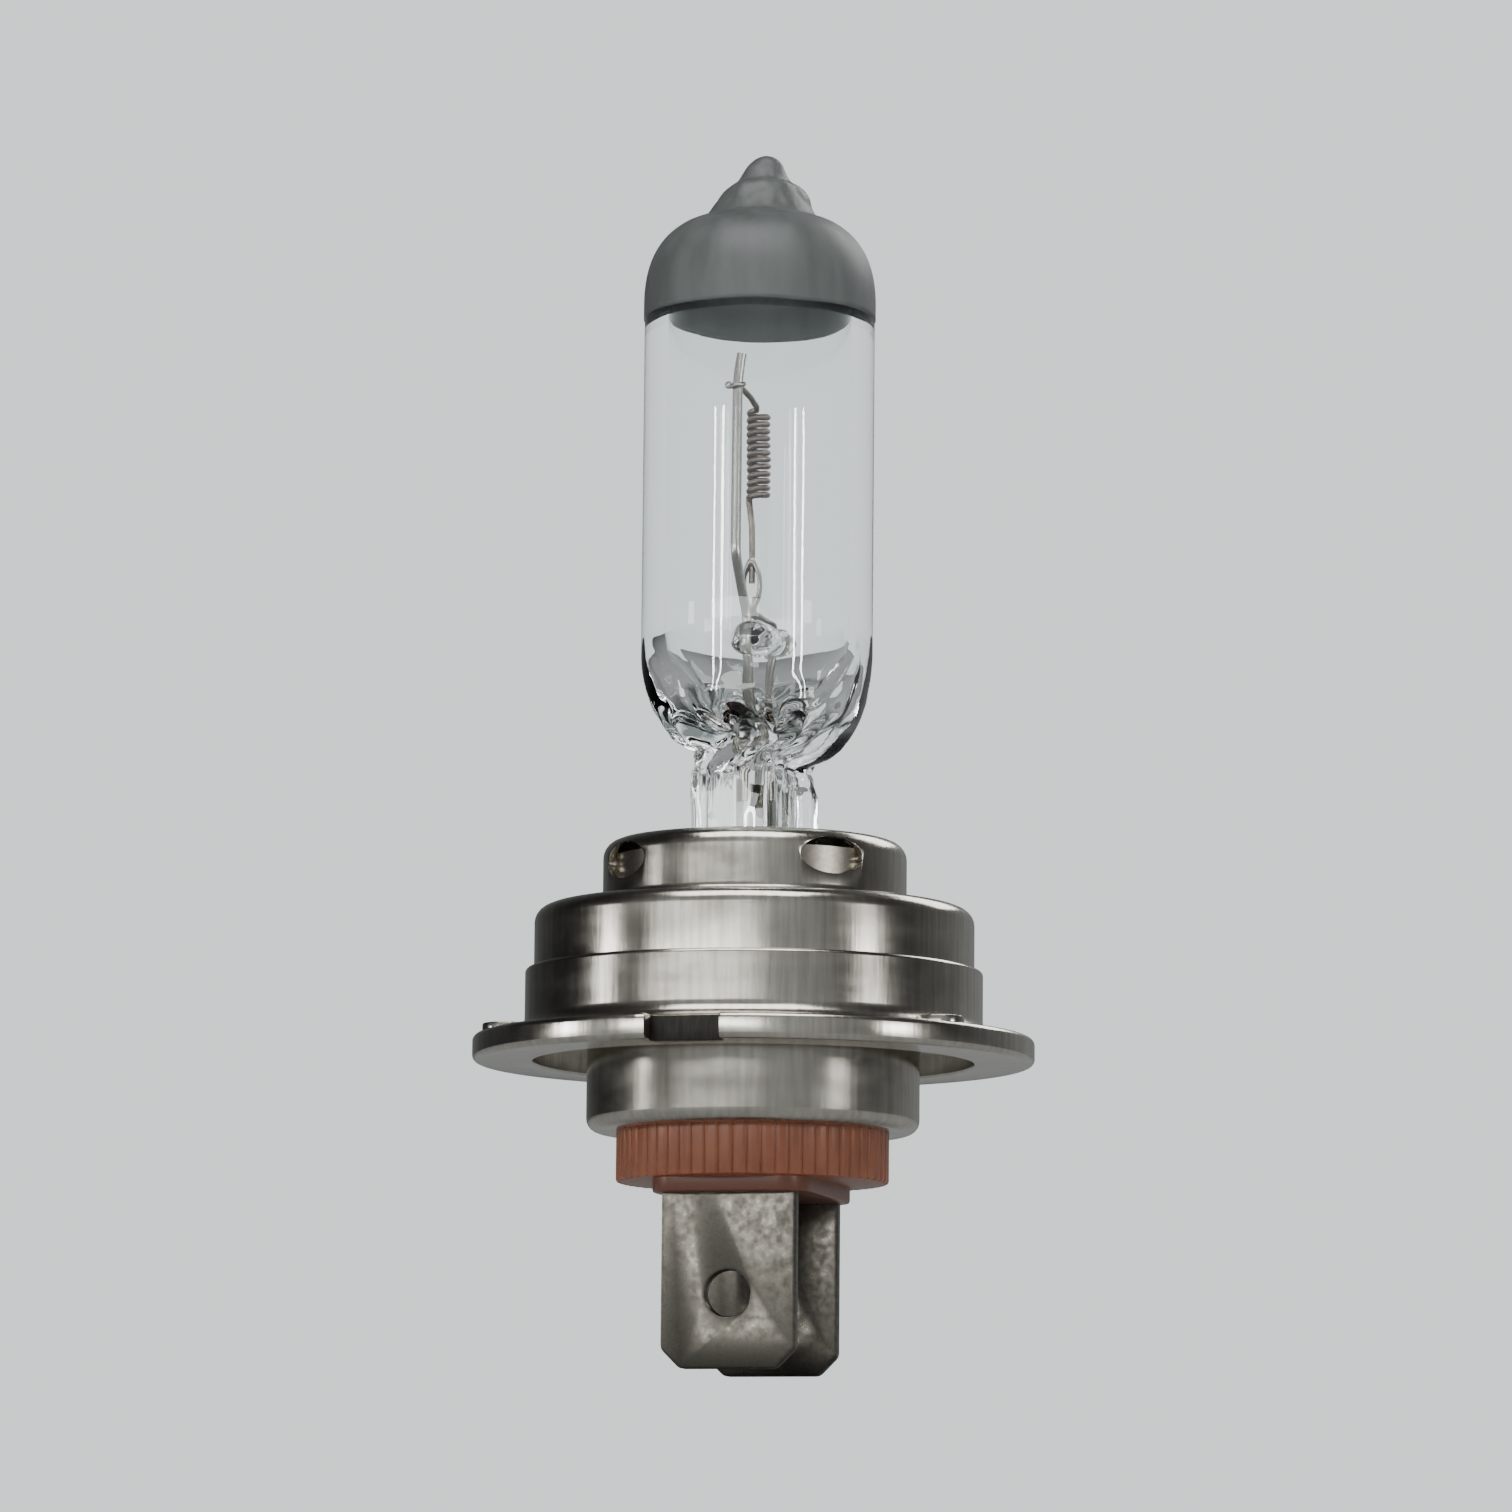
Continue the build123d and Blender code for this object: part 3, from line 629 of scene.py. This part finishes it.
# Satin nickel plate on drawn steel: warm grey, with draw marks down the walls, dull patches
# from handling, and a soft grain. Draw marks are about 0.15 mm apart, drawn twice as coarse.
satin_nickel, tree, output = start_material("satin_nickel_plate")
draw_marks = grain(tree, (0.3, 0.3, 4.5), 4.0)
dull_spots = grain(tree, (3.4, 3.4, 1.2), 3.0)
plate_tint = add_node(tree, "ShaderNodeMix", {
    0: dull_spots.outputs[0], 6: srgb("#aca79c"), 7: srgb("#c6c2b8")}, data_type="RGBA")
marks_tint = add_node(tree, "ShaderNodeMix", {
    0: 0.35, 6: plate_tint.outputs[2], 7: draw_marks.outputs[0]}, data_type="RGBA", blend_type="OVERLAY")
plate_rough = add_node(tree, "ShaderNodeMapRange", {
    "Value": dull_spots.outputs[0], "From Min": 0.3, "From Max": 0.7, "To Min": 0.15, "To Max": 0.24})
marks_bump = add_node(tree, "ShaderNodeBump", {
    "Height": draw_marks.outputs[0], "Strength": 0.4, "Distance": 0.015 * MM})
nickel = add_node(tree, "ShaderNodeBsdfPrincipled", {
    "Base Color": marks_tint.outputs[2], "Metallic": 1.0, "Roughness": plate_rough.outputs[0],
    "Normal": marks_bump.outputs[0]})
tree.links.new(nickel.outputs[0], output.inputs["Surface"])
dress(holder_cup, satin_nickel)
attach(holder_cup, "root")
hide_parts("holder_cup")

# ---------------------------------------------------------------------------
# Pinch clamps
# Two bent strips of spring steel inside the crown: a curved wall welded behind
# the windows, and a tongue that presses on the web of the pinch.
# ---------------------------------------------------------------------------

# Rolled spring steel: a little darker than the plate, with rolling lines.
spring_steel, tree, output = start_material("rolled_spring_steel")
rolling = grain(tree, (2.0, 0.2, 0.2), 3.0)
rolling_tint = add_node(tree, "ShaderNodeMix", {
    0: rolling.outputs[0], 6: srgb("#77726a"), 7: srgb("#a8a297")}, data_type="RGBA")
rolled = add_node(tree, "ShaderNodeBsdfPrincipled", {
    "Base Color": rolling_tint.outputs[2], "Metallic": 1.0, "Roughness": 0.3})
tree.links.new(rolled.outputs[0], output.inputs["Surface"])
for node_name in ("pinch_clamp_left", "pinch_clamp_right"):
    dress(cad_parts[node_name], spring_steel)

# ---------------------------------------------------------------------------
# Focus ring
# Pressed from thicker plated sheet: a collar welded round the holder's skirt
# and a flange with one notch and the three bosses that set the light centre.
# ---------------------------------------------------------------------------
flange_top, flange_bottom, collar_top = -0.3, -1.5, 2.8
focus_ring = turned("flange_ring", rounded([
    (10.2, flange_bottom), (13.0, flange_bottom, 0.28), (13.0, flange_top, 0.28), (10.6, flange_top, 0.8),
    (10.6, collar_top, 0.18), (10.2, collar_top)]))
bpy.ops.mesh.primitive_cube_add(size=MM, location=(0, -13.0 * MM, -0.7 * MM))
notch_cutter = bpy.context.object
notch_cutter.scale = (3.4, 3.0, 3.0)
bpy.ops.object.transform_apply(location=True, rotation=True, scale=True)
pick_edges(notch_cutter, lambda first, last: abs(first.z - last.z) > 1)
bpy.ops.mesh.bevel(offset=0.4 * MM, segments=5, affect="EDGES")
bpy.ops.object.mode_set(mode="OBJECT")
combine(focus_ring, notch_cutter, "DIFFERENCE")
soften(focus_ring, 0.1)
for bearing in (90, 210, 330):
    bpy.ops.mesh.primitive_cylinder_add(vertices=32, radius=1.1 * MM, depth=0.5 * MM)
    boss = bpy.context.object
    reach = Matrix.Rotation(math.radians(bearing), 4, "Z") @ Matrix.Translation((11.75 * MM, 0, -0.25 * MM))
    boss.data.transform(reach)
    soften(boss, 0.08)
    combine(focus_ring, boss, "UNION")
bpy.ops.object.shade_smooth_by_angle(angle=math.radians(38))
dress(focus_ring, satin_nickel)

# Bare punched edge with painted shade: the sheared wall of the notch has no plate left on it, so it is dull, and it
# is painted near black as shade for the deep notch.
bare_edge_and_painted_shade, tree, output = start_material("bare_steel_with_painted_shade")
shear_marks = grain(tree, (0.15, 0.15, 0.8), 3.0)
shear_and_shade_tint = add_node(tree, "ShaderNodeMix", {
    0: shear_marks.outputs[0], 6: srgb("#1f1d1b"), 7: srgb("#3b3835")}, data_type="RGBA")
shear_and_shade_bsdf = add_node(tree, "ShaderNodeBsdfPrincipled", {
    "Base Color": shear_and_shade_tint.outputs[2], "Metallic": 0.8, "Roughness": 0.55})
tree.links.new(shear_and_shade_bsdf.outputs[0], output.inputs["Surface"])
# The notch's wall gets this near-black material: painted shade for the recess, over dull bare steel.
focus_ring.data.materials.append(bare_edge_and_painted_shade)
for face in focus_ring.data.polygons:
    place = face.center / MM
    if abs(place.x) < 1.72 and -12.2 < place.y < -10.9 and -1.46 < place.z < -0.34 and abs(face.normal.z) < 0.6:
        face.material_index = 1
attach(focus_ring, "root")
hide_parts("focus_ring")

# ---------------------------------------------------------------------------
# Base sleeve
# A short drawn tube under the flange, with its bottom edge rolled in round the
# insulator. Plated like the rest of the cap.
# ---------------------------------------------------------------------------
sleeve_bottom, insulator_r = -4.7, 6.3
base_sleeve = turned("rolled_sleeve", rounded([
    (insulator_r, sleeve_bottom), (7.7, sleeve_bottom, 0.62), (7.7, -0.7, 0.3), (10.2, -0.7), (10.2, -0.3),
    (7.3, -0.3, 0.4), (7.3, sleeve_bottom + 0.4, 0.2), (insulator_r, sleeve_bottom + 0.4)]))
dress(base_sleeve, satin_nickel)
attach(base_sleeve, "root")
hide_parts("base_sleeve")

# ---------------------------------------------------------------------------
# Insulator
# Moulded in an orange-brown heat-proof plastic round the blades: a disc with
# fine ribs on its rim, and a darker central block where the blades come out.
# ---------------------------------------------------------------------------
rim_bottom, boss_bottom, rib_count = -7.0, -7.7, 60
bpy.ops.object.select_all(action="DESELECT")
bpy.ops.mesh.primitive_cylinder_add(
    vertices=rib_count * 8, radius=insulator_r * MM, depth=2.7 * MM, location=(0, 0, -5.65 * MM))
insulator = bpy.context.object
insulator.name = insulator.data.name = "ribbed_insulator"
bpy.ops.object.transform_apply(location=True, rotation=True, scale=True)
for vertex in insulator.data.vertices:
    turn = math.atan2(vertex.co.y, vertex.co.x)
    groove = max(0.0, math.cos(turn * rib_count)) ** 3
    shrink = 1 - 0.022 * groove * (1 if vertex.co.z < -5.5 * MM else 0.0)
    vertex.co.x *= shrink
    vertex.co.y *= shrink
bpy.ops.object.mode_set(mode="EDIT")
bpy.ops.mesh.select_all(action="DESELECT")
bpy.ops.object.mode_set(mode="OBJECT")
bpy.context.tool_settings.mesh_select_mode = (False, False, True)
for face in insulator.data.polygons:
    face.select = face.normal.z < -0.9
bpy.ops.object.mode_set(mode="EDIT")
bpy.ops.mesh.bevel(offset=0.12 * MM, segments=2, affect="EDGES")
bpy.ops.object.mode_set(mode="OBJECT")
bpy.context.tool_settings.mesh_select_mode = (True, False, False)
bpy.ops.object.shade_smooth_by_angle(angle=math.radians(50))

bpy.ops.mesh.primitive_cube_add(size=MM, location=(0, 0, (rim_bottom + boss_bottom) / 2 * MM + 0.1 * MM))
block = bpy.context.object
block.scale = (7.4, 10.4, 0.9)
bpy.ops.object.transform_apply(location=True, rotation=True, scale=True)
pick_edges(block, lambda first, last: abs(first.z - last.z) > 0.5)
bpy.ops.mesh.bevel(offset=1.5 * MM, segments=8, affect="EDGES")
bpy.ops.object.mode_set(mode="OBJECT")
soften(block, 0.12)

upper_plug = turned("upper_plug", rounded([(0, -4.3), (7.28, -4.3), (7.28, -1.6, 0.3), (0, -1.6)]), 96)
for part in (block, upper_plug):
    combine(insulator, part, "UNION")
bpy.ops.object.shade_smooth_by_angle(angle=math.radians(40))

# Heat-proof moulding plastic: orange-brown, a little translucent, cloudy inside and half glossy,
# darker towards the block where it is thick.
moulded_plastic, tree, output = start_material("heat_proof_moulding")
cloud = grain(tree, (1.4, 1.4, 1.4), 4.0)
height = add_node(tree, "ShaderNodeSeparateXYZ", {0: add_node(tree, "ShaderNodeTexCoord").outputs["Object"]})
thick_share = add_node(tree, "ShaderNodeMapRange", {
    "Value": height.outputs["Z"], "From Min": -7.12 * MM, "From Max": -6.98 * MM, "To Min": 1.0, "To Max": 0.0})
cloud_tint = add_node(tree, "ShaderNodeMix", {
    0: cloud.outputs[0], 6: srgb("#6f412d"), 7: srgb("#94583c")}, data_type="RGBA")
block_tint = add_node(tree, "ShaderNodeMix", {
    0: thick_share.outputs[0], 6: cloud_tint.outputs[2], 7: srgb("#5e3828")}, data_type="RGBA")
cloud_bump = add_node(tree, "ShaderNodeBump", {"Height": cloud.outputs[0], "Strength": 0.3, "Distance": 0.03 * MM})
moulding = add_node(tree, "ShaderNodeBsdfPrincipled", {
    "Base Color": block_tint.outputs[2], "Roughness": 0.34, "IOR": 1.52, "Subsurface Weight": 0.25,
    "Subsurface Radius": (1.2 * MM, 0.5 * MM, 0.25 * MM), "Subsurface Scale": 1.0, "Normal": cloud_bump.outputs[0]})
tree.links.new(moulding.outputs[0], output.inputs["Surface"])
dress(insulator, moulded_plastic)
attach(insulator, "root")
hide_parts("insulator_plug")

# ---------------------------------------------------------------------------
# Contact blades
# Stamped from plated strip 0.8 mm thick and 6.3 mm wide, with coined edges,
# a bevelled tip and a round detent hole. One is made, and copied behind.
# ---------------------------------------------------------------------------
blade_y, blade_top, blade_tip, hole_z = 4.0, -1.6, -15.7, -12.3
bpy.ops.object.select_all(action="DESELECT")
bpy.ops.mesh.primitive_cube_add(size=MM, location=(0, -blade_y * MM, (blade_top + blade_tip) / 2 * MM))
blade_front = bpy.context.object
blade_front.name = blade_front.data.name = "blade_front"
blade_front.scale = (6.3, 0.8, blade_top - blade_tip)
bpy.ops.object.transform_apply(location=True, rotation=True, scale=True)
pick_edges(blade_front, lambda first, last: max(first.z, last.z) < blade_tip + 0.1 and abs(first.y - last.y) > 0.5)
bpy.ops.mesh.bevel(offset=0.9 * MM, segments=1, affect="EDGES")
bpy.ops.object.mode_set(mode="OBJECT")
bpy.ops.mesh.primitive_cylinder_add(
    vertices=64, radius=1.05 * MM, depth=3 * MM,
    location=(0, -blade_y * MM, hole_z * MM), rotation=(math.radians(90), 0, 0))
hole_cutter = bpy.context.object
combine(blade_front, hole_cutter, "DIFFERENCE")
bpy.ops.object.select_all(action="DESELECT")
blade_front.select_set(True)
bpy.context.view_layer.objects.active = blade_front
soften(blade_front, 0.16, 30)
blade_rear = blade_front.copy()
blade_rear.data = blade_front.data.copy()
blade_rear.name = blade_rear.data.name = "blade_rear"
bpy.context.scene.collection.objects.link(blade_rear)
blade_rear.data.transform(Matrix.Rotation(math.pi, 4, "Z"))

# Dull plated strip: grey, slightly brown, with specks and rub marks along the blade.
dull_plate, tree, output = start_material("dull_plated_strip")
specks = grain(tree, (0.35, 0.35, 0.35), 5.0)
rubs = grain(tree, (0.22, 0.22, 6.0), 3.0)
speck_share = add_node(tree, "ShaderNodeMapRange", {
    "Value": specks.outputs[0], "From Min": 0.3, "From Max": 0.75, "To Min": 0.0, "To Max": 1.0})
strip_tint = add_node(tree, "ShaderNodeMix", {
    0: speck_share.outputs[0], 6: srgb("#605d56"), 7: srgb("#7c786f")}, data_type="RGBA")
strip_rough = add_node(tree, "ShaderNodeMapRange", {
    "Value": specks.outputs[0], "From Min": 0.3, "From Max": 0.7, "To Min": 0.42, "To Max": 0.26})
rub_bump = add_node(tree, "ShaderNodeBump", {"Height": rubs.outputs[0], "Strength": 0.4, "Distance": 0.012 * MM})
strip = add_node(tree, "ShaderNodeBsdfPrincipled", {
    "Base Color": strip_tint.outputs[2], "Metallic": 1.0, "Roughness": strip_rough.outputs[0],
    "Normal": rub_bump.outputs[0]})
tree.links.new(strip.outputs[0], output.inputs["Surface"])
for piece in (blade_front, blade_rear):
    dress(piece, dull_plate)
    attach(piece, "root")
    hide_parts("contact_" + piece.name)

# ---------------------------------------------------------------------------
# Studio
# A pale floor under the blades and a pale surround, which the metal sees darker
# than the camera does; soft lamps round the bulb, and five that light only the
# clear glass or only the coating.
# ---------------------------------------------------------------------------
bpy.ops.object.select_all(action="DESELECT")
floor_width = 0.8  # it ends where the lamps' light does, so that no dark band shows behind the glass
bpy.ops.mesh.primitive_plane_add(size=floor_width, location=(0, 0, cad_box[0].z - 0.2 * MM))
floor = bpy.context.object
floor.name = "studio_floor"
floor_paint, tree, output = start_material("studio_floor_paint")
facing = add_node(tree, "ShaderNodeNewGeometry")
paint = add_node(tree, "ShaderNodeBsdfPrincipled", {"Base Color": srgb("#dcdfe0"), "Roughness": 0.7})
open_side = add_node(tree, "ShaderNodeBsdfTransparent")
floor_path = add_node(tree, "ShaderNodeLightPath")
held_back = add_node(tree, "ShaderNodeMath", {
    0: floor_path.outputs["Is Glossy Ray"], 1: 0.6}, operation="MULTIPLY")
shade = add_node(tree, "ShaderNodeBsdfDiffuse", {"Color": srgb("#4a4b4b")})
floor_face = add_node(tree, "ShaderNodeMixShader", {
    0: held_back.outputs[0], 1: paint.outputs[0], 2: shade.outputs[0]})
floor_mix = add_node(tree, "ShaderNodeMixShader", {
    0: facing.outputs["Backfacing"], 1: floor_face.outputs[0], 2: open_side.outputs[0]})
tree.links.new(floor_mix.outputs[0], output.inputs["Surface"])
dress(floor, floor_paint)

world = bpy.data.worlds.new("studio_surround")
bpy.context.scene.world = world
world.use_nodes = True
tree = world.node_tree
tree.nodes.clear()
around_place = add_node(tree, "ShaderNodeTexCoord").outputs["Generated"]
split_place = add_node(tree, "ShaderNodeSeparateXYZ", {0: around_place})
side_ramp = add_node(tree, "ShaderNodeMapRange", {
    "Value": split_place.outputs["X"], "From Min": -0.9, "From Max": 0.9, "To Min": 0.35, "To Max": 1.0})
front_ramp = add_node(tree, "ShaderNodeValToRGB", {0: add_node(tree, "ShaderNodeMapRange", {
    "Value": split_place.outputs["Y"], "From Min": -1.0, "From Max": 1.0}).outputs[0]})
stops = front_ramp.color_ramp.elements
front_levels = ((0.0, 0.75), (0.1, 0.62), (0.3, 0.10), (0.6, 0.06), (0.85, 0.22), (1.0, 0.42))
for number, (place, level) in enumerate(front_levels):
    stop = stops[number] if number < 2 else stops.new(place)
    stop.position, stop.color = place, (level, level, level, 1)
surround_level = add_node(tree, "ShaderNodeMath", {
    0: side_ramp.outputs[0], 1: front_ramp.outputs[0]}, operation="MULTIPLY")
surround = add_node(tree, "ShaderNodeBackground", {"Color": srgb("#e6eaec"), "Strength": surround_level.outputs[0]})
backdrop = add_node(tree, "ShaderNodeBackground", {"Color": srgb("#dde4e5"), "Strength": 1.5})
path = add_node(tree, "ShaderNodeLightPath")
seen = add_node(tree, "ShaderNodeMath", {
    0: path.outputs["Is Camera Ray"], 1: path.outputs["Is Transmission Ray"]}, operation="MAXIMUM")
world_mix = add_node(tree, "ShaderNodeMixShader", {
    0: seen.outputs[0], 1: surround.outputs[0], 2: backdrop.outputs[0]})
add_node(tree, "ShaderNodeOutputWorld", {"Surface": world_mix.outputs[0]})


def soft_lamp(name, bearing, rise, distance, size, power):
    """A rectangular lamp that faces the bulb: bearing from the front towards +X, rise above level."""
    lamp = bpy.data.lights.new(name, "AREA")
    lamp.shape = "RECTANGLE"
    lamp.size, lamp.size_y = size[0] * MM, size[1] * MM
    lamp.energy = power
    holder = bpy.data.objects.new(name, lamp)
    bpy.context.scene.collection.objects.link(holder)
    side, up = math.radians(bearing), math.radians(rise)
    away = Vector((math.sin(side) * math.cos(up), -math.cos(side) * math.cos(up), math.sin(up)))
    holder.location = Vector((0, 0, 15 * MM)) + away * distance * MM
    holder.rotation_euler = away.to_track_quat("Z", "Y").to_euler()
    return holder


soft_lamp("overhead_softbox", 5, 62, 420, (420, 260), 1.9)
soft_lamp("front_softbox", -12, 5.5, 420, (460, 44), 0.62)
soft_lamp("right_softbox", 74, 4, 420, (90, 60), 0.24)
soft_lamp("left_softbox", -66, 4, 420, (60, 60), 0.24)
soft_lamp("rear_softbox", 150, 35, 450, (260, 200), 0.8)
glass_only = bpy.data.collections.new("clear_glass")
for piece in (glass_envelope, quartz_bridge):
    glass_only.objects.link(piece)
for name, bearing in (("left_outer", -29), ("left_inner", -21), ("right_inner", 51), ("right_outer", 59)):
    strip_lamp = soft_lamp(name + "_strip", bearing, 5.7, 255, (8, 72), 0.17)
    strip_lamp.light_linking.receiver_collection = glass_only
coating_only = bpy.data.collections.new("coated_dome")
coating_only.objects.link(top_coating)
dome_lamp = soft_lamp("dome_softbox", 34, 17, 420, (130, 90), 0.24)
dome_lamp.light_linking.receiver_collection = coating_only

# Camera 29 mm below the reference plane, 300 mm from the axis, turned half a degree
camera_data = bpy.data.cameras.new("camera")
camera_data.lens = 155.0
camera_data.sensor_width = 36.0
camera_data.clip_start = 0.01
camera = bpy.data.objects.new("camera", camera_data)
bpy.context.scene.collection.objects.link(camera)
bearing = math.radians(14.5)
camera.location = Vector((300 * math.sin(bearing), -300 * math.cos(bearing), -29)) * MM
aim = Vector((0, 0, 12.9 * MM))
camera.rotation_mode = "QUATERNION"
roll = Quaternion((0, 0, 1), math.radians(0.5))
camera.rotation_quaternion = (aim - camera.location).to_track_quat("-Z", "Y") @ roll
bpy.context.scene.camera = camera
